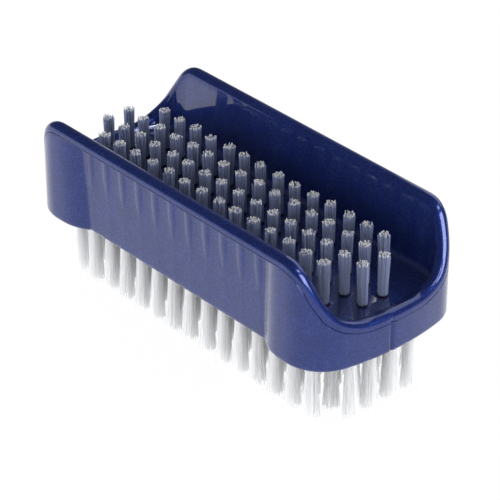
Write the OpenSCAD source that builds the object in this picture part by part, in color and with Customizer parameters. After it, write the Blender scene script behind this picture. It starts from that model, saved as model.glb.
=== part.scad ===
// Double-sided nail brush. One moulded body has a trough of short tufts above and longer
// tufts below. Each tuft is folded over a flat wire anchor at the bottom of its own hole.
// The brush stands on the tips of its lower tufts at z = 0, with its length along X.

/* [Body] */
// Length of the body
body_len = 94.6; // [92:0.2:110]
// Width of the body across its two side walls
body_w = 40.3; // [38:0.1:48]
// Thickness of the floor that holds the tufts
floor_t = 7.9; // [7.6:0.1:12]
// Height of the side walls above the trough floor
wall_h = 15.4; // [14:0.2:22]
// Height of the end lips above the trough floor
lip_h = 1.2; // [0.8:0.1:2.4]
// Radius of the four corners, seen from above
corner_r = 9.5; // [8:0.5:12]
// Radius of the crowned ends, seen from above
end_r = 60; // [50:5:120]
// Radius that rounds the lower edge
edge_r = 0.8; // [0.4:0.1:1.2]

/* [Rim] */
// Radius of the rolled rim, half the thickness of the wall's top
rim_r = 1.5; // [1.3:0.1:1.8]
// Height of the upright land under the rim's round
land_h = 0.45; // [0.3:0.05:0.8]
// Width of the parting groove between the land and the wall below it
groove_w = 0.2; // [0.1:0.05:0.3]
// Depth of the parting groove
groove_d = 0.15; // [0.1:0.05:0.25]
// Radius that turns the rim down from the side wall
dip_top_r = 8; // [5:0.5:9]
// Radius that turns the rim level again at the lip
dip_low_r = 14; // [9:0.5:15]
// Steepest slope of the rim between the two, in degrees
dip_slope = 55; // [50:1:64]
// Distance before the corner at which the rim starts to fall
dip_lead = 1.6; // [0:0.1:3]

/* [Trough] */
// Slope of the trough's inner walls, in degrees
trough_draft = 6.5; // [5:0.5:8]
// Radius where the inner walls meet the floor
fillet_r = 1.4; // [0.8:0.1:1.8]

/* [Grip] */
// Depth of the side recess under the rim
grip_top_d = 0.7; // [0.5:0.05:1]
// Depth of the side recess at the lower edge
grip_low_d = 2.5; // [2:0.05:2.65]
// Radius of the bulge between the recess and each corner
lobe_r = 12; // [9:0.5:14]
// Distance between neighbouring creases
crease_pitch = 5.3; // [4.5:0.1:6]
// Width of a crease where it is deepest
crease_w = 2.6; // [1.8:0.1:3.6]
// Depth of a crease where it is deepest
crease_d = 0.4; // [0.25:0.05:0.5]
// Length over which a crease runs in and out
crease_len = 11.5; // [7:0.5:12]

/* [Tufts] */
// Distance between neighbouring tufts along the brush
pitch_x = 5.3; // [5.2:0.05:5.6]
// Distance between neighbouring rows
pitch_y = 5.4; // [4.6:0.05:5.5]
// Length of the upper tufts above the trough floor
upper_len = 9.4; // [7:0.1:12]
// Length of the lower tufts below the body
lower_len = 14.7; // [10:0.1:20]
// Diameter of the holes in the trough floor
upper_hole = 2.2; // [1.9:0.05:2.3]
// Diameter of the holes in the underside
lower_hole = 2.4; // [2.1:0.05:2.6]
// Diameter of an upper tuft at its tip
upper_tip = 2.5; // [2.2:0.05:3]
// Diameter of a lower tuft at its tip
lower_tip = 3.3; // [2.6:0.05:3.6]
// Depth of every hole
hole_depth = 3.6; // [3:0.1:3.7]
// Locks of filaments drawn in each tuft
locks = 3; // [2:1:3]

/* [Anchors] */
// Thickness of an anchor's flat wire
anchor_t = 0.35; // [0.25:0.05:0.5]
// Height of an anchor
anchor_h = 1.2; // [0.9:0.05:1.4]
// Thickness of the filaments folded under an anchor
fold_t = 0.6; // [0.4:0.05:0.8]

/* [Hidden] */
// Rows of tufts above and below
upper_rows = 4;
lower_rows = 6;
// Each sub-part's node

// Gap between a tuft's root and its hole
root_gap = 0.05;
// Gap between an anchor and the filaments round it
anchor_gap = 0.02;
// Overrun of a cut past the face it starts from
over = 0.6;
// Width of the wall's foot that the floor is joined to
foot_w = 1.5;
// Upright gap between the parting groove and the top of a crease
crease_gap = 0.5;
// Gap by which a crease's cutter stands off the wall, so that it never just touches the face
crease_lift = 0.05;
// Shares of its length between which a crease has its full depth
crease_full_share = 0.2;
crease_fade_share = 0.6;
// Length by which a lock's trimmed end runs past the plane that the brush stands on
tip_cut = 0.5;
// Most by which an upper lock is longer or shorter than its fellows
ragged = 0.15;
// Most by which a tuft's tip leans away from its root
upper_lean = 0.25;
lower_lean = 0.35;
// Depth below the hole's mouth at which a tuft parts into locks
part_d = 0.8;
// Clear floor kept between the last hole of a row and the end of the body
upper_mid_margin = 5.5;
upper_side_margin = 11;
lower_mid_margin = 3.4;
lower_side_margin = 8;
// Shares of a lock's outer radius: its inner edge, and where its two flanks lie
lock_inner_share = 0.12;
lock_root_share = 0.93;
lock_flank = 50;
// Most by which a tuft is turned about its own axis, either way, in degrees
tuft_turn = 60;
// Seeds of the lean and turn of the tufts
upper_seed = 11;
lower_seed = 31;

// Steps along a crease's flank, the bulge, the corner, the crowned end and the rim's round
crease_steps = 4;
flank_steps = 5;
corner_steps = 14;
end_steps = 6;
rim_steps = 8;

half_l = body_len / 2;
half_w = body_w / 2;
under_z = lower_len;
floor_z = under_z + floor_t;
top_z = floor_z + wall_h;
lip_z = floor_z + lip_h;
bead_drop = rim_r + land_h + groove_w;
bead_z = top_z - bead_drop;
corner_y = half_w - corner_r;
corner_x = half_l - end_r + sqrt(pow(end_r - corner_r, 2) - pow(corner_y, 2));
end_angle = asin(corner_y / (end_r - corner_r));
corner_turn = 90 - end_angle;
corner_run = corner_r * corner_turn * PI / 180;

// Height of the rim's crest at a distance s along the outline, counted from the corner's start.
// It follows one arc down, a straight slope, and a second arc that ends level at the lip.
dip_fall = top_z - lip_z;
dip_straight = (dip_fall - (dip_top_r + dip_low_r) * (1 - cos(dip_slope))) / tan(dip_slope);
dip_len = (dip_top_r + dip_low_r) * sin(dip_slope) + dip_straight;
function crest(s) =
    let (u = s + dip_lead, e = dip_len - u)
    u <= 0 ? top_z
    : e <= 0 ? lip_z
    : u < dip_top_r * sin(dip_slope) ? top_z - dip_top_r + sqrt(pow(dip_top_r, 2) - pow(u, 2))
    : e < dip_low_r * sin(dip_slope) ? lip_z + dip_low_r - sqrt(pow(dip_low_r, 2) - pow(e, 2))
    : top_z - dip_top_r * (1 - cos(dip_slope)) - (u - dip_top_r * sin(dip_slope)) * tan(dip_slope);

// The rim is as round across its slope as it is on the level, so it is taller by this factor
function steep(s) = norm([1, (crest(s - groove_w) - crest(s + groove_w)) / (2 * groove_w)]);

// Depth of the grip recess at a height, and how far round the bulge it reaches
function grip_d(z) = grip_low_d + (grip_top_d - grip_low_d) * (z - under_z) / (bead_z - under_z);
function flank_turn(z) = acos(1 - grip_d(z) / lobe_r);

// A station on the outline is [share of the bulge passed, x, y, inward normal x, normal y, s]
function flank_station(f) =
    let (x = corner_x - lobe_r * sin(flank_turn(bead_z) * (1 - f)))
    [f, x, -half_w, 0, 1, x - corner_x];
function corner_station(a) =
    [1, corner_x + corner_r * sin(a), -corner_y - corner_r * cos(a), -sin(a), cos(a),
     corner_r * a * PI / 180];
function end_station(a) =
    [1, half_l - end_r + end_r * cos(a), end_r * sin(a), -cos(a), -sin(a),
     corner_run + end_r * (a + end_angle) * PI / 180];
quarter = concat(
    [for (i = [0:flank_steps]) flank_station(i / flank_steps)],
    [for (i = [1:corner_steps]) corner_station(corner_turn * i / corner_steps)],
    [for (i = [1:end_steps]) end_station(end_angle * (i / end_steps - 1))]
);

// A point of the outer wall at a height, set in from its face, and a point inside the outline
function wall_point(st, z, inset, level) =
    let (turn = flank_turn(z) * (1 - st[0]),
         x = st[0] < 1 ? corner_x - lobe_r * sin(turn) : st[1],
         d = lobe_r * (1 - cos(turn)) + inset)
    [x + d * st[3], st[2] + d * st[4], level];
function rim_point(st, d, z) = [st[1] + d * st[3], st[2] + d * st[4], z];

// Distance of the trough's wall in from the outline, at a height below the rim's round
function trough_d(base, z) = 2 * rim_r + max(0, base - z) * tan(trough_draft);

// The wall's section at a station: foot, lower edge, outer face, rim, inner face and fillet
function section(st) =
    let (c = crest(st[5]),
         tall = steep(st[5]),
         wall_top = c - tall * bead_drop,
         base = c - tall * rim_r,
         k = min(1, max(0, (base - floor_z) / (2 * fillet_r))),
         z1 = min(floor_z + fillet_r, base - groove_w / 2),
         z2 = min(floor_z + fillet_r * (1 - cos(45)), base - groove_w),
         z3 = min(floor_z - fillet_r * (1 - cos(45)) / 2, base - 2 * groove_w))
    concat(
        [wall_point(st, under_z, edge_r + foot_w, under_z),
         wall_point(st, under_z, edge_r, under_z),
         wall_point(st, under_z, edge_r * (1 - sin(45)), under_z + edge_r * (1 - cos(45))),
         wall_point(st, under_z + edge_r, 0, under_z + edge_r),
         wall_point(st, wall_top, 0, wall_top)],
        [rim_point(st, groove_d, wall_top + tall * groove_w / 2),
         rim_point(st, 0, wall_top + tall * groove_w)],
        [for (i = [0:rim_steps])
            let (a = 180 * i / rim_steps)
            rim_point(st, rim_r * (1 - cos(a)), c - tall * rim_r * (1 - sin(a)))],
        [rim_point(st, trough_d(base, z1), z1),
         rim_point(st, trough_d(base, z2) + k * fillet_r * (1 - sin(45)), z2),
         rim_point(st, trough_d(base, z3) + k * fillet_r * (2 - sin(45)), z3)]
    );

// The whole wall: the quarter, its mirror across the length, and both turned half round
function flip_y(ps) = [for (p = ps) [p[0], -p[1], p[2]]];
function turn_half(ps) = [for (p = ps) [-p[0], -p[1], p[2]]];
quarter_sections = [for (st = quarter) section(st)];
end_sections = concat(
    quarter_sections,
    [for (i = [len(quarter) - 2:-1:0]) flip_y(quarter_sections[i])]
);
ring_sections = concat(end_sections, [for (s = end_sections) turn_half(s)]);

module wall_ring() {
    n = len(ring_sections);
    m = len(ring_sections[0]);
    polyhedron(
        points = [for (s = ring_sections) each s],
        faces = [for (i = [0:n - 1], j = [0:m - 1])
            let (a = i * m + j, b = i * m + (j + 1) % m,
                 c = ((i + 1) % n) * m + (j + 1) % m, d = ((i + 1) % n) * m + j)
            each [[a, b, c], [a, c, d]]]
    );
}

// The floor that the tufts stand in reaches into the foot of the wall
module floor_block() {
    outline = [for (st = quarter) wall_point(st, under_z, edge_r + foot_w / 2, under_z)];
    half = concat(outline, [for (i = [len(quarter) - 2:-1:0]) [outline[i][0], -outline[i][1]]]);
    translate([0, 0, under_z])
        linear_extrude(floor_t)
            polygon([for (s = [1, -1], p = half) [s * p[0], s * p[1]]]);
}

// Creases part the grip face into reeds. Each has two rounded flanks that meet in a sharp
// line, and runs out into the face at both ends.
crease_r = (pow(crease_w / 2, 2) + pow(crease_d, 2)) / (2 * crease_d);
crease_top_z = bead_z - crease_gap;
crease_n = floor((corner_x - lobe_r * sin(flank_turn(under_z)) - crease_w / 2) / crease_pitch);
function flank_d(x) = crease_r - sqrt(pow(crease_r, 2) - pow(crease_w / 2 - abs(x), 2));
crease_section = concat(
    [[0, -over], [crease_w / 2, -over]],
    [for (i = [crease_steps:-1:-crease_steps])
        let (x = crease_w / 2 * i / crease_steps)
        [x, flank_d(x)]],
    [[-crease_w / 2, -over]]
);
// The section lies on the leaning face where the crease is deepest, and off it at both ends
module crease() {
    m = len(crease_section);
    off = crease_d + crease_lift;
    rings = [[0, off], [crease_full_share, crease_lift], [crease_fade_share, crease_lift], [1, off]];
    last = (len(rings) - 1) * m;
    polyhedron(
        points = [for (r = rings, p = crease_section)
            let (z = crease_top_z - r[0] * crease_len)
            [p[0], grip_d(z) + p[1] - r[1], z]],
        faces = concat(
            [for (i = [0:len(rings) - 2], j = [0:m - 1])
                let (a = i * m + j, b = i * m + (j + 1) % m, c = b + m, d = a + m)
                each [[a, b, c], [a, c, d]]],
            [for (j = [1:m - 2]) each [[0, j + 1, j], [last, last + j, last + j + 1]]])
    );
}
module creases() {
    for (side = [0, 1], i = [-crease_n:crease_n])
        mirror([0, side, 0])
            translate([i * crease_pitch, -half_w, 0])
                crease();
}

// Places of the tufts in a row. The upper ones stand half a pitch from the lower ones,
// so that no two holes are in line.
function upper_y(row) = (row - (upper_rows - 1) / 2) * pitch_y;
function lower_y(row) = (row - (lower_rows - 1) / 2) * pitch_y;
function upper_xs(row) =
    let (margin = row == 0 || row == upper_rows - 1 ? upper_side_margin : upper_mid_margin,
         n = 2 * round((half_l - margin) / pitch_x))
    [for (i = [0:n - 1]) (i - (n - 1) / 2) * pitch_x];
function lower_xs(row) =
    let (margin = row == 0 || row == lower_rows - 1 ? lower_side_margin : lower_mid_margin,
         n = 2 * floor((half_l - margin) / pitch_x) + 1)
    [for (i = [0:n - 1]) (i - (n - 1) / 2) * pitch_x];

module bores() {
    for (row = [0:upper_rows - 1], x = upper_xs(row))
        translate([x, upper_y(row), floor_z - hole_depth])
            cylinder(h = hole_depth + over, d = upper_hole, $fn = 24);
    for (row = [0:lower_rows - 1], x = lower_xs(row))
        translate([x, lower_y(row), under_z - over])
            cylinder(h = hole_depth + over, d = lower_hole, $fn = 24);
}

module body() {
    color([0.10, 0.13, 0.42])
        difference() {
            union() {
                wall_ring();
                floor_block();
            }
            creases();
            bores();
        }
}

// One lock is a closed spike of four sides, parted from the next by a narrow wedge of air
module lock(turn, root_r, tip_r, root_z, tip_z, lean) {
    flank_x = cos(lock_flank);
    flank_y = sin(lock_flank);
    shape = [[lock_inner_share, 0], [flank_x, -flank_y], [1, 0], [flank_x, flank_y]];
    ring = [for (p = shape)
        [p[0] * cos(turn) - p[1] * sin(turn), p[0] * sin(turn) + p[1] * cos(turn)]];
    polyhedron(
        points = concat(
            [for (p = ring) [p[0] * root_r, p[1] * root_r, root_z]],
            [for (p = ring) [p[0] * tip_r + lean[0], p[1] * tip_r + lean[1], tip_z]]),
        faces = concat(
            [[0, 1, 2], [0, 2, 3], [4, 6, 5], [4, 7, 6]],
            [for (i = [0:3]) let (j = (i + 1) % 4) each [[i, i + 4, j + 4], [i, j + 4, j]]])
    );
}

// A tuft grows up from the mouth of its hole at z = 0: a root folded round the anchor,
// then locks that spread to the tip. Lengths holds one length for each lock.
module tuft(hole, tip, lengths, spread, turn, lean) {
    root_r = hole / 2 - root_gap;
    union() {
        translate([0, 0, -hole_depth])
            difference() {
                cylinder(h = hole_depth, r = root_r, $fn = 24);
                translate([-anchor_t / 2 - anchor_gap, -hole / 2, fold_t - anchor_gap])
                    cube([anchor_t + 2 * anchor_gap, hole, anchor_h + 2 * anchor_gap]);
            }
        for (i = [0:locks - 1])
            let (reach = lengths[i] / spread)
            lock(turn + 360 * i / locks, root_r * lock_root_share,
                 root_r * lock_root_share + (tip / 2 - root_r * lock_root_share) * reach,
                 -part_d, lengths[i], lean * reach);
    }
}

module upper_tufts(row) {
    xs = upper_xs(row);
    lot = rands(-1, 1, len(xs) * (3 + locks), upper_seed + row);
    color([0.80, 0.83, 0.90])
        for (i = [0:len(xs) - 1])
            let (k = i * (3 + locks),
                 lengths = [for (j = [0:locks - 1]) upper_len + ragged * (lot[k + 3 + j] - 1) / 2])
            translate([xs[i], upper_y(row), floor_z])
                tuft(upper_hole, upper_tip, lengths, upper_len, tuft_turn * lot[k + 2],
                     upper_lean * [lot[k], lot[k + 1]]);
}

// The lower tufts' locks would end past the plane z = 0, and are trimmed flat on it
module lower_tufts(row) {
    xs = lower_xs(row);
    lot = rands(-1, 1, len(xs) * 3, lower_seed + row);
    lengths = [for (j = [0:locks - 1]) lower_len];
    color([0.93, 0.94, 0.96])
        for (i = [0:len(xs) - 1])
            translate([xs[i], lower_y(row), under_z])
                mirror([0, 0, 1])
                    tuft(lower_hole, lower_tip, lengths, lower_len + tip_cut,
                         tuft_turn * lot[3 * i + 2], lower_lean * [lot[3 * i], lot[3 * i + 1]]);
}

// A flat wire anchor lies across the bottom of the hole, in the fold of the tuft
module anchor(hole) {
    reach = sqrt(pow(hole / 2 - root_gap, 2) - pow(anchor_t / 2, 2));
    translate([-anchor_t / 2, -reach, fold_t - hole_depth])
        cube([anchor_t, 2 * reach, anchor_h]);
}

module upper_anchors(row) {
    color("silver")
        for (x = upper_xs(row))
            translate([x, upper_y(row), floor_z])
                anchor(upper_hole);
}

module lower_anchors(row) {
    color("silver")
        for (x = lower_xs(row))
            translate([x, lower_y(row), under_z])
                mirror([0, 0, 1])
                    anchor(lower_hole);
}

body();
for (i = [1:upper_rows]) upper_tufts(i - 1);
for (i = [1:lower_rows]) lower_tufts(i - 1);
for (i = [1:upper_rows]) upper_anchors(i - 1);
for (i = [1:lower_rows]) lower_anchors(i - 1);
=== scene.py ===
"""A double-sided nail brush: a moulded body of dark blue pearl plastic with a ribbed grip,
short nylon tufts in a trough above and longer ones below. Sizes are in millimetres until
they go into a mesh. The body has the sizes of the part's source, apart from its grips, and
the seams and lips that only this script gives it."""

import math

import bmesh
import bpy
import numpy as np
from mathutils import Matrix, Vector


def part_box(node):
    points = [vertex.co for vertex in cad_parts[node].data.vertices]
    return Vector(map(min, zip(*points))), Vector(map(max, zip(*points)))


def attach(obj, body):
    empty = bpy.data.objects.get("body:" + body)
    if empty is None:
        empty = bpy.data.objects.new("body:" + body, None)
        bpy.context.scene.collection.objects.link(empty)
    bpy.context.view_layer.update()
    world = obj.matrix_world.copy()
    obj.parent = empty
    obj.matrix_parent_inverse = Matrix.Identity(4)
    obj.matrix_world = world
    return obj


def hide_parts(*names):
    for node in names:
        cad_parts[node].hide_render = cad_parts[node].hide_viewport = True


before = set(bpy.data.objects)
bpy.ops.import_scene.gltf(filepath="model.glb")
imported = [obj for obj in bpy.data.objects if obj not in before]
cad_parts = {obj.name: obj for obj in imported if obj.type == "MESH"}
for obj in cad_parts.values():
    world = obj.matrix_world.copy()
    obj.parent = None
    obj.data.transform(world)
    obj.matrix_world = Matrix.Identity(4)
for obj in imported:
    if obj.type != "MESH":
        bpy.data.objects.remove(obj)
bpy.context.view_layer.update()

MM = 0.001

# The body's box gives its length, width, underside and top
body_low, body_high = [np.array(corner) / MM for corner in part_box("body")]
HALF_L, HALF_W, TOP_Z = body_high
UNDER_Z = body_low[2]
FLOOR_T = 7.9
FLOOR_Z = UNDER_Z + FLOOR_T
LIP_RISE = 1.2
LIP_Z = FLOOR_Z + LIP_RISE
CORNER_R = 9.5
END_R = 60
EDGE_R = 0.8

# Rim, and the curve on which it drops from the side walls to the end lips
RIM_R = 1.5
LAND_H = 0.45
GROOVE_W = 0.2
GROOVE_D = 0.15
LIP_H = 0.15
BEAD_DROP = RIM_R + LAND_H + GROOVE_W
BEAD_Z = TOP_Z - BEAD_DROP
DIP_TOP_R = 8
DIP_LOW_R = 14
DIP_SLOPE = math.radians(55)
DIP_LEAD = 1.6
DIP_FALL = TOP_Z - LIP_Z
DIP_ROUND_FALL = (DIP_TOP_R + DIP_LOW_R) * (1 - math.cos(DIP_SLOPE))
DIP_STRAIGHT = (DIP_FALL - DIP_ROUND_FALL) / math.tan(DIP_SLOPE)
DIP_LEN = (DIP_TOP_R + DIP_LOW_R) * math.sin(DIP_SLOPE) + DIP_STRAIGHT

# Trough, grip recess between the bulging corners, and the low ribs on the grip. A rib keeps
# its height over its even length and then runs out. Its edges blend into the face.
DRAFT = math.radians(6.5)
FILLET_R = 1.4
GRIP_TOP_D = 1.85
GRIP_LOW_D = 2.5
LOBE_TOP_L = 7.5
LOBE_LOW_L = 8.7
LOBE_POWER = 3
RIBS = 5
RIB_PITCH = 5.3
RIB_W = 2.4
RIB_H = 0.17
RIB_LEN = 10.8
RIB_EVEN_LEN = 5.4
RIB_LEAST_HALF_W = 0.3
BLEND_D = 0.03

# Seam of the slides that mould the outside, a little off the middle of each end
SEAM_D = 0.6
SEAM_W = 0.3
SEAM_Y = -1.7
SEAM_REACH = 4
SEAM_FADE_SHARE = 0.3

# Bevel of the small lip under the parting groove, steps from row to row of the section,
# halvings in the search for the rim's joint, and the distance under which points are merged
LIP_EDGE = 0.03
EDGE_STEPS = 4
WALL_STEPS = 41
RIM_STEPS = 8
RIM_INNER_STEPS = 9
TROUGH_STEPS = 11
FILLET_STEPS = 7
HALVINGS = 40
MERGE_GAP = 0.002

# Tufts and the holes that they stand in. The longest upper filaments reach past the length,
# and all start a little below the holes' mouths.
PITCH_X = 5.3
PITCH_Y = 5.4
HOLE_DEPTH = 3.6
HOLE_EDGE = 0.1
HOLE_SIDES = 20
UPPER_HOLE = 2.2
LOWER_HOLE = 2.4
UPPER_COUNTS = (14, 16, 16, 14)
LOWER_COUNTS = (15, 17, 17, 17, 17, 15)
UPPER_LEN = 9.4
UPPER_REACH = 0.25
LOWER_LEN = 14.7
SINK = 1.2
UPPER_LEAN = 0.25
LOWER_LEAN = 0.35
UPPER_SEED = 10
LOWER_SEED = 40
FILAMENT_SIDES = 6
FILAMENT_STEPS = 4
BEND_POWER = 1.25

# Filaments to a square metre, so many that only the gap between them sets their number
CROWD = 4e8

# How polished the trough's walls are, where its floor is 1 and the outside 0, how much the
# gloss of each mirrors, and the least turns between faces that show as an edge
WALL_POLISH = 0.3
PLAIN_GLOSS = 1.5
POLISHED_GLOSS = 2.3
BODY_EDGE_TURN = math.radians(40)
FILAMENT_EDGE_TURN = math.radians(60)

# Light from the horizon and the ceiling, the light that gloss mirrors there, and the table
RING_LIGHT = 5.3
CEILING_LIGHT = 0.8
MIRRORED_LIGHT = 0.08
TABLE_WHITE = 0.96
TABLE_R = 3
TABLE_SIDES = 64

# Sockets of a Mix node and a Mix Shader node that can't be told by name
COLOUR_A = 6
COLOUR_B = 7
SHADER_A = 1
SHADER_B = 2

# Camera, recovered from the photograph
CAMERA_PLACE = (0.33624, -0.28998, 0.28663)
CAMERA_TURN = (58.62, 0, 48.96)
CAMERA_LENS = 180
SENSOR = 36


def corner_centre():
    """Centre of the corner's arc, tangent to the side and to the crowned end."""
    y = HALF_W - CORNER_R
    return HALF_L - END_R + math.sqrt((END_R - CORNER_R) ** 2 - y * y), y


CORNER_X, CORNER_Y = corner_centre()
END_ANGLE = math.asin(CORNER_Y / (END_R - CORNER_R))
CORNER_TURN = math.pi / 2 - END_ANGLE


# The body's shape


def crest(run):
    """Height of the rim's crest at a distance along the outline from the corner's start."""
    past_top = run + DIP_LEAD
    to_foot = DIP_LEN - past_top
    top_run = DIP_TOP_R * math.sin(DIP_SLOPE)
    low_run = DIP_LOW_R * math.sin(DIP_SLOPE)
    shoulder = TOP_Z - DIP_TOP_R + np.sqrt(np.maximum(DIP_TOP_R**2 - past_top**2, 0))
    foot = LIP_Z + DIP_LOW_R - np.sqrt(np.maximum(DIP_LOW_R**2 - to_foot**2, 0))
    slope_top = TOP_Z - DIP_TOP_R * (1 - math.cos(DIP_SLOPE))
    slope = slope_top - (past_top - top_run) * math.tan(DIP_SLOPE)
    stretches = [past_top <= 0, to_foot <= 0, past_top < top_run, to_foot < low_run]
    return np.select(stretches, [TOP_Z, LIP_Z, shoulder, foot], slope)


def steepness(run):
    """Factor by which the rim is taller on a slope, so that it is as round across it."""
    fall = (crest(run - GROOVE_W) - crest(run + GROOVE_W)) / (2 * GROOVE_W)
    return np.sqrt(1 + fall * fall)


def by_height(z, low, top):
    """A size that changes evenly from the underside to the parting groove."""
    return low + (top - low) * (z - UNDER_Z) / (BEAD_Z - UNDER_Z)


def grip_d(z):
    """Depth of the grip recess."""
    return by_height(z, GRIP_LOW_D, GRIP_TOP_D)


def lobe_l(z):
    """How far the bulging corner reaches along the wall, up to its crease with the grip."""
    return by_height(z, LOBE_LOW_L, LOBE_TOP_L)


RIB_R = ((RIB_W / 2) ** 2 + RIB_H**2) / (2 * RIB_H)


def rib_h(z):
    """Height of a rib's ridge above the grip face, into which it runs out downwards."""
    return RIB_H * np.interp(BEAD_Z - z, (RIB_EVEN_LEN, RIB_LEN), (1, 0))


def rib_half_w(z):
    """Half of a rib's width where its round flank meets the grip face."""
    height = rib_h(z)
    return np.maximum(np.sqrt(2 * RIB_R * height - height**2), RIB_LEAST_HALF_W)


def rib_rise(x, z):
    """Height of the nearest rib at a place on the grip face, with soft edges."""
    off = x - np.clip(np.round(x / RIB_PITCH), -RIBS, RIBS) * RIB_PITCH
    rise = np.sqrt(RIB_R**2 - off * off) - RIB_R + rib_h(z)
    return (rise + np.sqrt(rise * rise + BLEND_D**2)) / 2


class Stations:
    """Places round a quarter of the body's outline, from the middle of the near wall to the
    middle of the right-hand end. Those on the grip slide along it, to follow the edges of the
    ribs. The others are rows of: share of the bulge, x, y, inward normal's x and y, and run,
    the distance along the outline from the corner's start."""

    # Shares of a rib's half width, of the way from the last rib to the bulging corner, and of
    # the seam's width
    SHARES = (0.3, 0.55, 0.8, 1, 1.15)
    LAST_SHARES = (0.25, 0.6)
    SEAM_SHARES = (3, 1.8, 1.1, 0.5, 0)
    FLANK_STEPS = 11
    FLANK_POWER = 1.4
    CORNER_STEPS = 30
    END_STEPS = 16

    def __init__(self):
        self.wall = [(0, 0)]
        for i in range(RIBS):
            self.wall += [(i, share) for share in self.SHARES]
            self.wall += [(i + 0.5, 0)]
            self.wall += [(i + 1, -share) for share in reversed(self.SHARES)] + [(i + 1, 0)]
        self.wall += [(RIBS, share) for share in self.SHARES]
        flank_shares = np.linspace(0, 1, self.FLANK_STEPS) ** self.FLANK_POWER
        flank = [(share, CORNER_X, -HALF_W, 0, 1, 0) for share in flank_shares]
        turns = np.linspace(0, CORNER_TURN, self.CORNER_STEPS)[1:]
        corner = [self.corner(turn) for turn in turns]
        seam = [-share * SEAM_W / END_R for share in self.SEAM_SHARES]
        turns = list(np.linspace(-END_ANGLE, seam[0], self.END_STEPS)[1:]) + seam[1:]
        self.turned = np.array(flank + corner + [self.end(turn) for turn in turns])

    def corner(self, turn):
        x = CORNER_X + CORNER_R * math.sin(turn)
        y = -CORNER_Y - CORNER_R * math.cos(turn)
        return 1, x, y, -math.sin(turn), math.cos(turn), CORNER_R * turn

    def end(self, turn):
        x = HALF_L - END_R + END_R * math.cos(turn)
        y = END_R * math.sin(turn)
        run = CORNER_R * CORNER_TURN + END_R * (turn + END_ANGLE)
        return 1, x, y, -math.cos(turn), -math.sin(turn), run

    def wall_x(self, z):
        """Where the grip's stations lie at a height."""
        half = float(rib_half_w(z))
        xs = [i * RIB_PITCH + share * half for i, share in self.wall]
        edge = CORNER_X - lobe_l(min(z, BEAD_Z))
        return np.array(xs + [xs[-1] + share * (edge - xs[-1]) for share in self.LAST_SHARES])

    def row(self, z, depth):
        """One row of the quarter: z and depth are one number for each station, or one for all,
        or depth is a function of x and z."""
        wall_count = len(self.wall) + len(self.LAST_SHARES)
        z = np.broadcast_to(np.asarray(z, float), wall_count + len(self.turned))
        wall_x = self.wall_x(float(z[0]))
        bulge, x, y, inward_x, inward_y, _ = self.turned.T
        flank_x = CORNER_X - lobe_l(np.minimum(z[wall_count:], BEAD_Z)) * (1 - bulge)
        x = np.concatenate([wall_x, np.where(bulge < 1, flank_x, x)])
        y = np.concatenate([np.full(wall_count, -HALF_W), y])
        inward_x = np.concatenate([np.zeros(wall_count), inward_x])
        inward_y = np.concatenate([np.ones(wall_count), inward_y])
        inset = depth(x, z) if callable(depth) else depth
        return np.column_stack([x + inset * inward_x, y + inset * inward_y, z])

    def runs(self):
        """Each station's run, at which the rim's height is read."""
        bulge, _, _, _, _, run = self.turned.T
        flank = -lobe_l(BEAD_Z) * (1 - bulge)
        return np.concatenate([self.wall_x(BEAD_Z) - CORNER_X, np.where(bulge < 1, flank, run)])

    def columns(self):
        """For each station: whether it is on the grip, its share of the bulge, and its seam's
        depth."""
        grip = np.zeros(len(self.wall) + len(self.LAST_SHARES))
        bulge, _, y, _, _, run = self.turned.T
        seam = np.where(run > CORNER_R * CORNER_TURN, SEAM_D * np.exp(-((y / SEAM_W) ** 2)), 0)
        on_grip = np.arange(len(grip) + len(bulge)) < len(grip)
        return on_grip, np.concatenate([grip, bulge]), np.concatenate([grip, seam])


def rim_joint(base, stretch):
    """Angle on the rim's round at which it goes over into the trough's wall or, where the rim
    is low, straight into the fillet."""

    def lean(turn):
        return np.arctan2(np.sin(turn) / stretch, -np.cos(turn))

    high = np.full(len(base), math.pi / 2)
    low = math.pi - np.arctan(stretch * math.tan(DRAFT))
    for _ in range(HALVINGS):
        middle = (high + low) / 2
        foot = base + stretch * RIM_R * np.sin(middle) + FILLET_R * np.sin(lean(middle))
        above = foot > FLOOR_Z + FILLET_R
        high, low = np.where(above, middle, high), np.where(above, low, middle)
    return high, lean(high)


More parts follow.
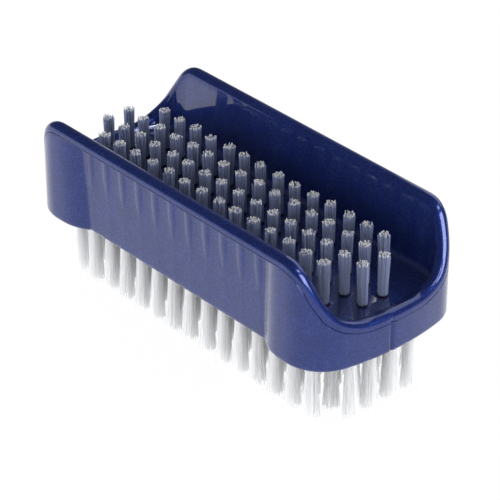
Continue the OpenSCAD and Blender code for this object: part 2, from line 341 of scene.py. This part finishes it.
def body_rows(stations):
    """The section's rows from the edge of the underside up over the rim to the trough floor."""
    runs = stations.runs()
    crest_z = crest(runs)
    stretch = steepness(runs)
    on_grip, bulge, seam = stations.columns()
    rows = []

    def outer_depth(x, z):
        recess = grip_d(np.minimum(z, BEAD_Z)) * (1 - bulge) ** LOBE_POWER
        return recess - np.where(on_grip, rib_rise(x, z), 0) + seam

    for turn in np.linspace(0, math.pi / 2, EDGE_STEPS + 1):
        inset = EDGE_R * (1 - math.sin(turn))
        z = UNDER_Z + EDGE_R * (1 - math.cos(turn))
        rows.append(stations.row(z, lambda x, z: outer_depth(x, z) + inset))
    low = UNDER_Z + EDGE_R
    wall_top = crest_z - BEAD_DROP * stretch
    lip_low = wall_top - LIP_H * stretch
    for share in np.linspace(0, 1, WALL_STEPS + 1)[1:]:
        rows.append(stations.row(low + (lip_low - low) * share, outer_depth))
    rows.append(stations.row(lip_low + stretch * LIP_EDGE, LIP_EDGE + seam))
    rows.append(stations.row(wall_top, seam))
    rows.append(stations.row(wall_top + stretch * GROOVE_W / 2, GROOVE_D + seam))
    rows.append(stations.row(wall_top + stretch * GROOVE_W, seam))
    rows.append(stations.row(wall_top + stretch * (GROOVE_W + LAND_H / 2), seam / 2))

    base = crest_z - RIM_R * stretch
    joint, lean = rim_joint(base, stretch)
    for share in np.linspace(0, 1, RIM_STEPS + 1):
        turn = share * math.pi / 2
        inset = RIM_R * (1 - math.cos(turn)) + seam * max(0, SEAM_FADE_SHARE - share)
        rows.append(stations.row(base + RIM_R * stretch * math.sin(turn), inset))
    for share in np.linspace(0, 1, RIM_INNER_STEPS + 1)[1:]:
        turn = math.pi / 2 + share * (joint - math.pi / 2)
        rows.append(stations.row(base + RIM_R * stretch * np.sin(turn), RIM_R * (1 - np.cos(turn))))
    start_z = base + RIM_R * stretch * np.sin(joint)
    start_d = RIM_R * (1 - np.cos(joint))
    end_z = FLOOR_Z + FILLET_R * (1 - np.sin(lean))
    end_d = start_d + np.maximum(start_z - end_z, 0) * math.tan(DRAFT)
    for share in np.linspace(0, 1, TROUGH_STEPS + 1)[1:]:
        z = start_z + (end_z - start_z) * share
        rows.append(stations.row(z, start_d + (end_d - start_d) * share))
    centre_d = end_d + FILLET_R * np.cos(lean)
    for share in np.linspace(0, 1, FILLET_STEPS + 1)[1:]:
        turn = math.pi + lean + share * (math.pi / 2 - lean)
        z = FLOOR_Z + FILLET_R * (1 + np.sin(turn))
        rows.append(stations.row(z, centre_d + FILLET_R * np.cos(turn)))
    return rows


def whole_ring(row):
    """A quarter's row, its mirror across the length, and both turned half round. The middle of
    the end is turned a little about the centre of its arc, which moves the seam aside."""
    mirrored = row[-2::-1] * (1, -1, 1)
    half = np.vstack([row, mirrored])[:-1]
    x, y, z = half.T
    pivot = HALF_L - END_R
    share = np.where(x > CORNER_X, np.clip(1 - (y / SEAM_REACH) ** 2, 0, 1) ** 2, 0)
    turn = share * SEAM_Y / END_R
    half = np.column_stack([
        pivot + (x - pivot) * np.cos(turn) - y * np.sin(turn),
        (x - pivot) * np.sin(turn) + y * np.cos(turn),
        z,
    ])
    return np.vstack([half, half * (-1, -1, 1)])


def tuft_places(counts):
    """(x, y) of each tuft, row by row from the near side."""
    rows = []
    for row, count in enumerate(counts):
        y = (row - (len(counts) - 1) / 2) * PITCH_Y
        rows.append([((i - (count - 1) / 2) * PITCH_X, y) for i in range(count)])
    return rows


def drilled_face(bm, outline, level, holes, diameter, up):
    """Fills an outline with a flat face, and drills it with blind holes that have a fine bevel."""
    edges = [
        bm.edges.get((start, end)) or bm.edges.new((start, end))
        for start, end in zip(outline, outline[1:] + outline[:1])
    ]
    turns = np.arange(HOLE_SIDES) * 2 * math.pi / HOLE_SIDES
    for x, y in holes:
        rings = []
        for radius, depth in (
            (diameter / 2 + HOLE_EDGE, 0),
            (diameter / 2, HOLE_EDGE),
            (diameter / 2, HOLE_DEPTH),
        ):
            z = level - depth if up else level + depth
            ring = [(x + radius * math.cos(turn), y + radius * math.sin(turn), z) for turn in turns]
            rings.append([bm.verts.new(np.array(place) * MM) for place in ring])
        mouth = rings[0]
        edges += [bm.edges.new((start, end)) for start, end in zip(mouth, mouth[1:] + mouth[:1])]
        for upper, lower in zip(rings, rings[1:]):
            for i in range(HOLE_SIDES):
                j = (i + 1) % HOLE_SIDES
                bm.faces.new((upper[i], upper[j], lower[j], lower[i]))
        bm.faces.new(rings[-1])
    bmesh.ops.triangle_fill(bm, edges=edges, use_beauty=True)


def in_upper_holes(place):
    """Whether a place of the body lies in the trough's floor or the holes that are drilled in it."""
    x, y, z = abs(np.array(place)) / MM
    by_depth = FLOOR_Z - HOLE_DEPTH - HOLE_EDGE < z < FLOOR_Z + HOLE_EDGE
    return by_depth and x < CORNER_X + PITCH_X and y < CORNER_Y + PITCH_Y


def make_body(finish):
    rings = [whole_ring(row) for row in body_rows(Stations())]
    count = len(rings[0])
    bm = bmesh.new()
    polished = bm.verts.layers.float.new("polished")
    grid = [[bm.verts.new(place * MM) for place in ring] for ring in rings]
    for low, high in zip(grid, grid[1:]):
        for i in range(count):
            j = (i + 1) % count
            bm.faces.new((low[i], low[j], high[j], high[i]))
    upper = [place for row in tuft_places(UPPER_COUNTS) for place in row]
    lower = [place for row in tuft_places(LOWER_COUNTS) for place in row]
    drilled_face(bm, grid[-1], FLOOR_Z, upper, UPPER_HOLE, True)
    drilled_face(bm, grid[0], UNDER_Z, lower, LOWER_HOLE, False)
    for ring in grid[-TROUGH_STEPS - FILLET_STEPS:]:
        for vert in ring:
            vert[polished] = WALL_POLISH
    for vert in grid[-1]:
        vert[polished] = 1
    for vert in bm.verts:
        if in_upper_holes(vert.co):
            vert[polished] = 1
    bmesh.ops.remove_doubles(bm, verts=bm.verts, dist=MERGE_GAP * MM)
    bmesh.ops.recalc_face_normals(bm, faces=bm.faces)
    mesh = bpy.data.meshes.new("moulded_body")
    bm.to_mesh(mesh)
    bm.free()
    mesh.shade_smooth()
    mesh.set_sharp_from_angle(angle=BODY_EDGE_TURN)
    return finished("moulded_body", mesh, finish, "body_plastic", "body")


def finished(name, mesh, finish, slot, *nodes):
    """Puts a mesh into the scene as a piece that stands for CAD nodes."""
    mesh.materials.clear()
    mesh.materials.append(finish)
    piece = bpy.data.objects.new(name, mesh)
    bpy.context.scene.collection.objects.link(piece)
    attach(piece, "root")
    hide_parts(*nodes)
    return piece


# Node trees


class Wire:
    """An output of a node, on which arithmetic adds Math nodes to the tree."""

    def __init__(self, nodes, socket):
        self.nodes = nodes
        self.socket = socket

    def other(self, name):
        return Wire(self.nodes, pick(self.socket.node.outputs, name))

    def __add__(self, other):
        return self.nodes.math("ADD", self, other)

    def __sub__(self, other):
        return self.nodes.math("SUBTRACT", self, other)

    def __rsub__(self, other):
        return self.nodes.math("SUBTRACT", other, self)

    def __mul__(self, other):
        return self.nodes.math("MULTIPLY", self, other)

    def __truediv__(self, other):
        return self.nodes.math("DIVIDE", self, other)

    def __pow__(self, other):
        return self.nodes.math("POWER", self, other)

    __radd__ = __add__
    __rmul__ = __mul__


def pick(sockets, name):
    """The socket of this name, or number, that is in use."""
    if isinstance(name, int):
        return sockets[name]
    return next(socket for socket in sockets if socket.name == name and socket.enabled)


class Nodes:
    """Adds nodes to one tree."""

    def __init__(self, tree):
        self.tree = tree

    def add(self, kind, values=None, out=0, stops=None, **settings):
        """A node of a kind, with its settings, its ramp's stops, and its sockets' values or wires."""
        node = self.tree.nodes.new(kind)
        for name, value in settings.items():
            setattr(node, name, value)
        if stops:
            ramp = node.color_ramp.elements
            while len(ramp) < len(stops):
                ramp.new(0.5)
            for element, (place, colour) in zip(ramp, stops):
                element.position = place
                element.color = (*colour, 1)
        for name, value in (values or {}).items():
            socket = pick(node.inputs, name)
            if isinstance(value, Wire):
                self.tree.links.new(value.socket, socket)
            else:
                socket.default_value = value
        outputs = [output for output in node.outputs if output.enabled]
        if not outputs:
            return node
        return Wire(self, outputs[out] if isinstance(out, int) else pick(node.outputs, out))

    def math(self, operation, *values):
        return self.add("ShaderNodeMath", dict(enumerate(values)), operation=operation)

    def vector(self, operation, *values, out=0):
        return self.add("ShaderNodeVectorMath", dict(enumerate(values)), out=out, operation=operation)


# Tufts


def tuft_tree():
    """Geometry nodes that plant a tuft of round filaments at each point of a mesh. A point's
    lean says where its tuft's tip goes, and the filaments spread and stray a little from it."""
    tree = bpy.data.node_groups.new("tufts", "GeometryNodeTree")
    face = tree.interface
    face.new_socket("Places", in_out="INPUT", socket_type="NodeSocketGeometry")
    for name in ("Hole", "Gap", "Thickness", "Length", "Sink", "Spread", "Stray", "Ragged", "Up"):
        face.new_socket(name, in_out="INPUT", socket_type="NodeSocketFloat")
    face.new_socket("Seed", in_out="INPUT", socket_type="NodeSocketInt")
    face.new_socket("Finish", in_out="INPUT", socket_type="NodeSocketMaterial")
    face.new_socket("Tufts", in_out="OUTPUT", socket_type="NodeSocketGeometry")
    nodes = Nodes(tree)
    given = tree.nodes.new("NodeGroupInput")
    value = {socket.name: Wire(nodes, socket) for socket in given.outputs if socket.name}

    def keep(geometry, name, data, kind="FLOAT_VECTOR"):
        return nodes.add(
            "GeometryNodeStoreNamedAttribute",
            {"Geometry": geometry, "Name": name, "Value": data},
            data_type=kind,
        )

    def kept(name, kind="FLOAT_VECTOR"):
        return nodes.add("GeometryNodeInputNamedAttribute", {"Name": name}, data_type=kind)

    def chance(step, low=0.0, high=1.0):
        return nodes.add(
            "FunctionNodeRandomValue",
            {"Min": low, "Max": high, "Seed": value["Seed"] + step},
            data_type="FLOAT",
        )

    position = nodes.add("GeometryNodeInputPosition")
    places = keep(value["Places"], "mouth", position)
    disc = nodes.add(
        "GeometryNodeMeshCircle",
        {"Vertices": HOLE_SIDES, "Radius": value["Hole"] / 2 - value["Thickness"] / 2},
        fill_type="NGON",
    )
    discs = nodes.add("GeometryNodeInstanceOnPoints", {"Points": places, "Instance": disc})
    discs = nodes.add("GeometryNodeRealizeInstances", {"Geometry": discs})
    points = nodes.add(
        "GeometryNodeDistributePointsOnFaces",
        {
            "Mesh": discs,
            "Distance Min": value["Gap"],
            "Density Max": CROWD,
            "Seed": value["Seed"],
        },
        distribute_method="POISSON",
    )
    spread = nodes.vector("SCALE", nodes.vector("SUBTRACT", position, kept("mouth")))
    tree.links.new((value["Spread"] - 1).socket, pick(spread.socket.node.inputs, "Scale"))
    # Most filaments stray little, and a few stray far
    wild = chance(1) ** 4 * 3 + 0.6
    stray = nodes.add(
        "ShaderNodeCombineXYZ",
        {
            "X": chance(2, -1.0) * wild * value["Stray"],
            "Y": chance(3, -1.0) * wild * value["Stray"],
        },
    )
    tip = nodes.vector("ADD", nodes.vector("ADD", kept("lean"), spread), stray)
    points = keep(points, "tip", tip)
    points = keep(points, "root", position)
    tall = value["Length"] - chance(4) ** 2 * value["Ragged"]
    points = keep(points, "tall", tall, "FLOAT")
    points = keep(points, "tone", chance(5), "FLOAT")
    straw = nodes.add(
        "GeometryNodeMeshCylinder",
        {
            "Vertices": FILAMENT_SIDES,
            "Side Segments": FILAMENT_STEPS,
            "Radius": value["Thickness"] / 2,
            "Depth": 1.0,
        },
    )
    straw = nodes.add("GeometryNodeTransform", {"Geometry": straw, "Translation": (0, 0, 0.5)})
    spin = nodes.add("ShaderNodeCombineXYZ", {"Z": chance(6, 0.0, 2 * math.pi)})
    straws = nodes.add(
        "GeometryNodeInstanceOnPoints", {"Points": points, "Instance": straw, "Rotation": spin}
    )
    straws = nodes.add("GeometryNodeRealizeInstances", {"Geometry": straws})
    place = nodes.add("ShaderNodeSeparateXYZ", {"Vector": position})
    root = nodes.add("ShaderNodeSeparateXYZ", {"Vector": kept("root")})
    tip = nodes.add("ShaderNodeSeparateXYZ", {"Vector": kept("tip")})
    share = place.other("Z") - root.other("Z")
    height = share * (kept("tall", "FLOAT") + value["Sink"]) - value["Sink"]
    bend = nodes.math("MAXIMUM", height / value["Length"], 0) ** BEND_POWER
    straws = keep(straws, "along", height / value["Length"], "FLOAT")
    bent = nodes.add(
        "ShaderNodeCombineXYZ",
        {
            "X": place.other("X") + tip.other("X") * bend,
            "Y": place.other("Y") + tip.other("Y") * bend,
            "Z": root.other("Z") + height * value["Up"],
        },
    )
    straws = nodes.add("GeometryNodeSetPosition", {"Geometry": straws, "Position": bent})
    straws = nodes.add("GeometryNodeSetMaterial", {"Geometry": straws, "Material": value["Finish"]})
    result = tree.nodes.new("NodeGroupOutput")
    tree.links.new(straws.socket, result.inputs[0])
    return tree


def plant_row(tree, name, places, level, lean, values, finish):
    """Makes one row of tufts with the tree, as a plain mesh."""
    chance = np.random.default_rng(values["Seed"])
    mesh = bpy.data.meshes.new(name)
    mesh.from_pydata([(x * MM, y * MM, level * MM) for x, y in places], [], [])
    leans = mesh.attributes.new("lean", "FLOAT_VECTOR", "POINT")
    for item in leans.data:
        item.vector = (*(chance.uniform(-lean, lean, 2) * MM), 0)
    source = bpy.data.objects.new(name + "_places", mesh)
    bpy.context.scene.collection.objects.link(source)
    modifier = source.modifiers.new("tufts", "NODES")
    modifier.node_group = tree
    for socket in tree.interface.items_tree:
        if socket.in_out == "INPUT" and socket.name in values:
            modifier[socket.identifier] = values[socket.name]
        elif socket.name == "Finish":
            modifier[socket.identifier] = finish
    depsgraph = bpy.context.evaluated_depsgraph_get()
    result = bpy.data.meshes.new_from_object(source.evaluated_get(depsgraph))
    bpy.data.objects.remove(source)
    if values["Up"] < 0:
        result.flip_normals()
    result.shade_smooth()
    result.set_sharp_from_angle(angle=FILAMENT_EDGE_TURN)
    return result


def make_tufts(shaded_upper_nylon, lower_finish):
    tree = tuft_tree()
    upper = {
        "Hole": UPPER_HOLE * MM,
        "Gap": 0.21 * MM,
        "Thickness": 0.23 * MM,
        "Length": (UPPER_LEN + UPPER_REACH) * MM,
        "Sink": SINK * MM,
        "Spread": 1.15,
        "Stray": 0.12 * MM,
        "Ragged": 0.8 * MM,
        "Up": 1.0,
    }
    lower = {
        "Hole": LOWER_HOLE * MM,
        "Gap": 0.2 * MM,
        "Thickness": 0.26 * MM,
        "Length": LOWER_LEN * MM,
        "Sink": SINK * MM,
        "Spread": 1.6,
        "Stray": 0.22 * MM,
        "Ragged": 0.12 * MM,
        "Up": -1.0,
    }
    for row, places in enumerate(tuft_places(UPPER_COUNTS)):
        name = f"upper_filaments_row_{row + 1}"
        values = {**upper, "Seed": UPPER_SEED + row}
        mesh = plant_row(tree, name, places, FLOOR_Z, UPPER_LEAN, values, shaded_upper_nylon)
        finished(name, mesh, shaded_upper_nylon, "filaments", f"upper_tufts_row_{row + 1}")
    for row, places in enumerate(tuft_places(LOWER_COUNTS)):
        name = f"lower_filaments_row_{row + 1}"
        values = {**lower, "Seed": LOWER_SEED + row}
        mesh = plant_row(tree, name, places, UNDER_Z, LOWER_LEAN, values, lower_finish)
        finished(name, mesh, lower_finish, "filaments", f"lower_tufts_row_{row + 1}")


# Finishes


def new_material(name):
    material = bpy.data.materials.new(name)
    material.use_nodes = True
    material.node_tree.nodes.clear()
    return material, Nodes(material.node_tree)


def surface(nodes, shader):
    nodes.add("ShaderNodeOutputMaterial", {"Surface": shader})


def pearl_plastic():
    """Dark blue moulding resin with fine metallic flakes under a clear gloss, which mirrors
    more where the mould is polished."""
    material, nodes = new_material("pearl_plastic")
    place = nodes.add("ShaderNodeTexCoord", out="Object")
    flakes = nodes.add(
        "ShaderNodeTexVoronoi", {"Vector": place, "Scale": 7000.0}, out="Color", voronoi_dimensions="3D"
    )
    flake = nodes.add("ShaderNodeSeparateColor", {"Color": flakes}, out="Red")
    cloud = nodes.add(
        "ShaderNodeTexNoise", {"Vector": place, "Scale": 260.0, "Detail": 3.0}, out="Fac"
    )
    glint = flake ** 6
    shade = nodes.add(
        "ShaderNodeValToRGB",
        {"Fac": flake * 0.7 + cloud * 0.3},
        stops=[
            (0.0, (0.005, 0.012, 0.076)),
            (0.6, (0.010, 0.023, 0.136)),
            (1.0, (0.036, 0.070, 0.30)),
        ],
    )
    grain = nodes.add(
        "ShaderNodeTexNoise", {"Vector": place, "Scale": 900.0, "Detail": 2.0}, out="Fac"
    )
    bump = nodes.add("ShaderNodeBump", {"Height": grain, "Distance": 0.000004, "Strength": 0.25})

    def moulded(gloss):
        return nodes.add(
            "ShaderNodeBsdfPrincipled",
            {
                "Base Color": shade,
                "Metallic": 0.72 + glint * 0.2,
                "Roughness": 0.36 - glint * 0.1,
                "Specular IOR Level": 0.0,
                "Coat Weight": 1.0,
                "Coat Roughness": 0.03,
                "Coat IOR": gloss,
                "Normal": bump,
            },
        )

    polished = nodes.add("ShaderNodeAttribute", attribute_name="polished", out="Fac")
    both = nodes.add(
        "ShaderNodeMixShader",
        {
            "Fac": polished,
            SHADER_A: moulded(PLAIN_GLOSS),
            SHADER_B: moulded(POLISHED_GLOSS),
        },
    )
    surface(nodes, both)
    return material


def nylon(name, colour, end_colour, end_share, even, cloud, clear):
    """Nylon filament with painted shade at its root, where the hole's mouth shades it, and a cut
    end with a colour of its own, which on the upper tufts is painted light where their tips catch
    it. The darkest filament has the share even of the colour. Of the light, the share clear goes
    straight through, and the share cloud of the rest is scattered through."""
    material, nodes = new_material(name)
    along = nodes.add("ShaderNodeAttribute", attribute_name="along", out="Fac")
    tone = nodes.add("ShaderNodeAttribute", attribute_name="tone", out="Fac")
    end = nodes.add(
        "ShaderNodeMapRange",
        {"Value": along + tone * 0.02, "From Min": 1 - end_share, "From Max": 1.0},
    )
    darkest = (*[channel * even for channel in colour], 1)
    body = nodes.add(
        "ShaderNodeMix",
        {"Factor": tone, COLOUR_A: darkest, COLOUR_B: (*colour, 1)},
        data_type="RGBA",
    )
    # Painted shade: the filament darkens near its root, where the hole's mouth shades it
    root = nodes.add("ShaderNodeMapRange", {"Value": along, "From Min": 0.01, "From Max": 0.07})
    body = nodes.add(
        "ShaderNodeMix",
        {"Factor": root, COLOUR_A: (0.02, 0.02, 0.04, 1), COLOUR_B: body},
        data_type="RGBA",
    )
    whole = nodes.add(
        "ShaderNodeMix",
        {"Factor": end, COLOUR_A: body, COLOUR_B: (*end_colour, 1)},
        data_type="RGBA",
    )
    plain = nodes.add(
        "ShaderNodeBsdfPrincipled", {"Base Color": whole, "Roughness": 0.4, "IOR": 1.5}
    )
    milky = nodes.add("ShaderNodeBsdfTranslucent", {"Color": whole})
    cloudy = nodes.add("ShaderNodeMixShader", {"Fac": cloud, SHADER_A: plain, SHADER_B: milky})
    glassy = nodes.add("ShaderNodeBsdfTransparent")
    both = nodes.add("ShaderNodeMixShader", {"Fac": clear, SHADER_A: cloudy, SHADER_B: glassy})
    surface(nodes, both)
    return material


def anchor_wire():
    """Flat drawn wire with fine lengthwise marks."""
    material, nodes = new_material("anchor_wire")
    place = nodes.add("ShaderNodeTexCoord", out="Object")
    turned = nodes.add("ShaderNodeMapping", {"Vector": place, "Scale": (9000.0, 400.0, 9000.0)})
    marks = nodes.add("ShaderNodeTexNoise", {"Vector": turned, "Scale": 1.0}, out="Fac")
    shade = nodes.add(
        "ShaderNodeValToRGB",
        {"Fac": marks},
        stops=[(0.3, (0.50, 0.49, 0.46)), (0.7, (0.72, 0.70, 0.66))],
    )
    shader = nodes.add(
        "ShaderNodeBsdfPrincipled",
        {"Base Color": shade, "Metallic": 1.0, "Roughness": 0.3 + marks * 0.2},
    )
    surface(nodes, shader)
    return material


# Studio


def add_softbox(name, place, size, power, mirrored, target=(0, 0, 0.02)):
    """A rectangular lamp that faces the brush. It is either mirrored in the gloss, and gives a
    highlight without more light on the tufts, or lights the brush without a highlight."""
    lamp = bpy.data.lights.new(name, "AREA")
    lamp.shape = "RECTANGLE"
    lamp.size, lamp.size_y = size
    lamp.energy = power
    box = bpy.data.objects.new(name, lamp)
    box.location = place
    x, y, z = (end - start for start, end in zip(place, target))
    box.rotation_euler = (math.atan2(math.hypot(x, y), -z), 0, math.atan2(y, x) - math.pi / 2)
    box.visible_diffuse = not mirrored
    box.visible_transmission = not mirrored
    box.visible_glossy = mirrored
    bpy.context.scene.collection.objects.link(box)


def add_floor():
    """A wide white table. Seen or mirrored it is white, less the brush's shadow."""
    bm = bmesh.new()
    bmesh.ops.create_circle(bm, cap_ends=True, segments=TABLE_SIDES, radius=TABLE_R)
    mesh = bpy.data.meshes.new("table")
    bm.to_mesh(mesh)
    bm.free()
    material, nodes = new_material("white_table")
    path = nodes.add("ShaderNodeLightPath", out="Is Camera Ray")
    mirrored = nodes.math("MAXIMUM", path.other("Is Glossy Ray"), path.other("Is Transmission Ray"))
    seen = nodes.math("MAXIMUM", path, mirrored)
    plain = nodes.add("ShaderNodeBsdfDiffuse", {"Color": (0.9, 0.9, 0.9, 1)})
    white = nodes.add("ShaderNodeEmission", {"Color": (1, 1, 1, 1), "Strength": 1.0})
    both = nodes.add(
        "ShaderNodeMixShader", {"Fac": seen * TABLE_WHITE, SHADER_A: plain, SHADER_B: white}
    )
    surface(nodes, both)
    mesh.materials.append(material)
    table = bpy.data.objects.new("table", mesh)
    bpy.context.scene.collection.objects.link(table)


def add_world():
    """A pale ring of light round the horizon under a dark ceiling, of which gloss mirrors
    little. The camera sees plain white."""
    world = bpy.data.worlds.new("studio")
    bpy.context.scene.world = world
    world.use_nodes = True
    world.node_tree.nodes.clear()
    nodes = Nodes(world.node_tree)
    path = nodes.add("ShaderNodeLightPath", out="Is Camera Ray")
    view = nodes.add("ShaderNodeTexCoord", out="Generated")
    height = nodes.add("ShaderNodeSeparateXYZ", {"Vector": view}, out="Z")
    ring = nodes.add(
        "ShaderNodeMapRange",
        {
            "Value": height,
            "From Min": 0.15,
            "From Max": 0.6,
            "To Min": RING_LIGHT,
            "To Max": CEILING_LIGHT,
        },
    )
    mirrored = path.other("Is Glossy Ray")
    lit = 1 - nodes.math("MAXIMUM", path, mirrored)
    level = ring * lit + path + mirrored * MIRRORED_LIGHT
    light = nodes.add("ShaderNodeBackground", {"Color": (0.97, 0.98, 1.0, 1), "Strength": level})
    nodes.add("ShaderNodeOutputWorld", {"Surface": light})


def add_camera():
    data = bpy.data.cameras.new("camera")
    data.lens = CAMERA_LENS
    data.sensor_width = SENSOR
    camera = bpy.data.objects.new("camera", data)
    camera.location = CAMERA_PLACE
    camera.rotation_euler = [math.radians(angle) for angle in CAMERA_TURN]
    bpy.context.scene.collection.objects.link(camera)
    bpy.context.scene.camera = camera


add_camera()
add_floor()
add_world()
add_softbox("right_softbox", (0.778, -0.04, 0.45), (0.74, 0.50), 8.4, True)
add_softbox("high_strip", (0.45, 0.02, 0.78), (0.50, 0.14), 1.2, True)
add_softbox("back_softbox", (-0.14, 0.76, 0.60), (1.0, 0.7), 3.0, True)
add_softbox("right_fill", (0.82, -0.12, 0.26), (0.60, 0.40), 1.0, False)
make_body(pearl_plastic())
# Painted shade: the upper nylon is a darker, bluer copy of the white lower nylon, standing for the
# shade and blue of the trough. Its lighter cut ends are painted light on the tips.
make_tufts(
    nylon("upper_nylon_painted_shade", (0.32, 0.365, 0.53), (0.72, 0.71, 0.67), 0.04, 0.8, 0.6, 0.4),
    nylon("lower_nylon", (0.985, 0.987, 0.992), (0.985, 0.987, 0.992), 0.03, 0.93, 0.85, 0.6),
)
wire = anchor_wire()
for name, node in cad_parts.items():
    if "anchors" in name:
        node.data.materials.clear()
        node.data.materials.append(wire)

bpy.context.scene.view_settings.view_transform = "Standard"
